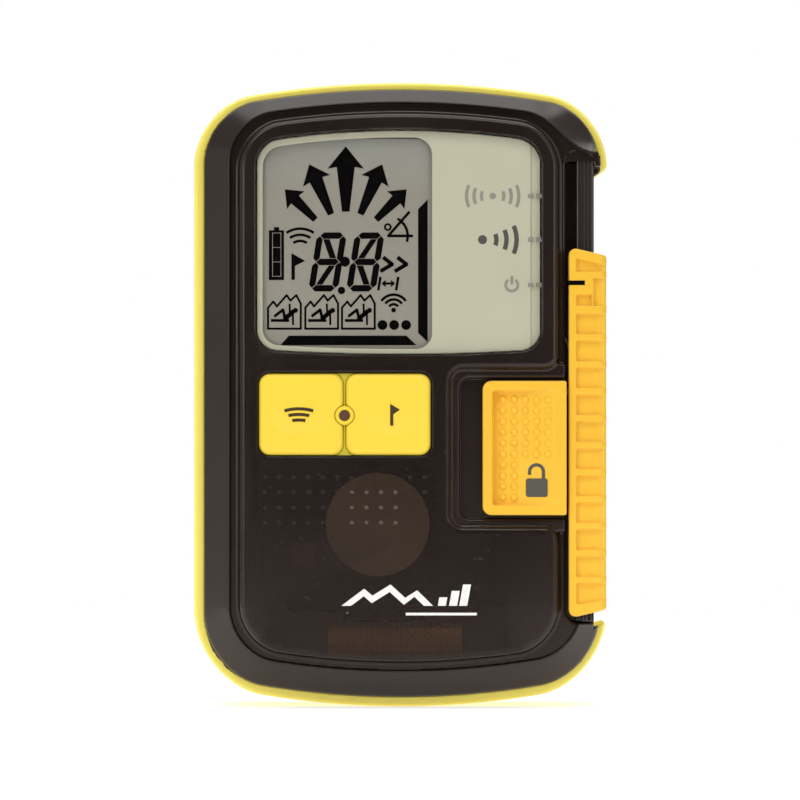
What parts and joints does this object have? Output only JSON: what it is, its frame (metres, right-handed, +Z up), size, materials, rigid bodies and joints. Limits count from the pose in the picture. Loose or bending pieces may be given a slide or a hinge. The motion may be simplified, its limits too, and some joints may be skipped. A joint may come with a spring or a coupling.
{
  "type": "avalanche transceiver",
  "caption": "Hand-held avalanche transceiver with a display, two keys, a mode slider with a lock button, and a hinged battery cover on the back.",
  "frame": {"origin": "under the middle of the case, on the surface that it stands on", "axes": "+Z up the length, -Y the display side, +X to the right as the display is read"},
  "size_m": [0.0782, 0.029, 0.118],
  "materials": {
    "yellow_plastic": "satin moulded",
    "amber_plastic": "satin moulded",
    "key_rubber": "silicone, satin",
    "smoked_plastic": "smoked, see-through, satin",
    "clear_lens": "clear, polished",
    "lcd": "reflective display",
    "cream_plastic": "satin",
    "black_rubber": "matte",
    "black_plastic": "satin",
    "circuit_board": "solder mask",
    "steel": "machined",
    "brass": "plain",
    "copper": "enamelled wire",
    "ferrite": "sintered",
    "battery_sleeve": "printed sleeve",
    "switch_body": "satin"
  },
  "bodies": {
    "case": {"battery_cell_1": "battery_sleeve", "battery_cell_2": "battery_sleeve", "battery_cell_3": "battery_sleeve", "battery_contact_1": "brass", "battery_contact_2": "brass", "battery_contact_3": "brass", "battery_spring_1": "steel", "battery_spring_2": "steel", "battery_spring_3": "steel", "case_screw_1": "steel", "case_screw_2": "steel", "case_screw_3": "steel", "case_screw_4": "steel", "case_screw_5": "steel", "case_screw_6": "steel", "clock_crystal": "steel", "detent_spring": "steel", "display_connector": "black_rubber", "display_lens": "clear_lens", "front_shell": "smoked_plastic", "hall_sensor_off": "black_plastic", "hall_sensor_send": "black_plastic", "hinge_pin": "steel", "key_membrane": "black_rubber", "lanyard_pin": "steel", "lcd_panel": "lcd", "lcd_tray": "cream_plastic", "led_ring": "key_rubber", "legend_panel": "cream_plastic", "lock_spring": "steel", "main_board": "circuit_board", "mark_switch": "switch_body", "memory_chip": "black_plastic", "perimeter_gasket": "black_rubber", "power_capacitor": "copper", "power_chip": "black_plastic", "processor_chip": "black_plastic", "radio_shield": "steel", "rear_shell": "yellow_plastic", "scan_switch": "switch_body", "slide_rail": "smoked_plastic", "speaker": "black_plastic", "speaker_ring": "black_rubber", "status_led": "black_plastic", "x_antenna_rod": "ferrite", "x_antenna_winding": "copper", "y_antenna_rod": "ferrite", "y_antenna_winding": "copper", "z_antenna_rod": "ferrite", "z_antenna_winding": "copper"},
    "mode_slider": {"mode_slider": "amber_plastic", "slide_magnet": "steel"},
    "lock_button": {"lock_button": "amber_plastic"},
    "scan_button": {"scan_button": "key_rubber"},
    "mark_button": {"mark_button": "key_rubber"},
    "battery_cover": {"battery_cover": "yellow_plastic", "cover_gasket": "black_rubber"},
    "cover_screw": {"cover_screw": "steel"}
  },
  "joints": [
    {"name": "mode_slide", "type": "slide", "parent": "case", "child": "mode_slider", "axis": [0, 0, 1], "range_m": [0, 0.016]},
    {"name": "lock_slide", "type": "slide", "parent": "case", "child": "lock_button", "axis": [-1, 0, 0], "range_m": [0, 0.0036], "stiffness_N_per_m": 300, "springref_m": -0.001, "deforming": ["lock_spring"]},
    {"name": "scan_press", "type": "slide", "parent": "case", "child": "scan_button", "axis": [0, 1, 0], "range_m": [0, 0.0008], "stiffness_N_per_m": 1500, "springref_m": -0.0003},
    {"name": "mark_press", "type": "slide", "parent": "case", "child": "mark_button", "axis": [0, 1, 0], "range_m": [0, 0.0008], "stiffness_N_per_m": 1500, "springref_m": -0.0003},
    {"name": "cover_hinge", "type": "hinge", "parent": "case", "child": "battery_cover", "pos_m": [-0.003, 0.013, 0.0752], "axis": [1, 0, 0], "range_deg": [0, 100]},
    {"name": "cover_screw_turn", "type": "hinge", "parent": "battery_cover", "child": "cover_screw", "pos_m": [-0.003, 0.013, 0.0135], "axis": [0, 1, 0], "continuous": true}
  ]
}
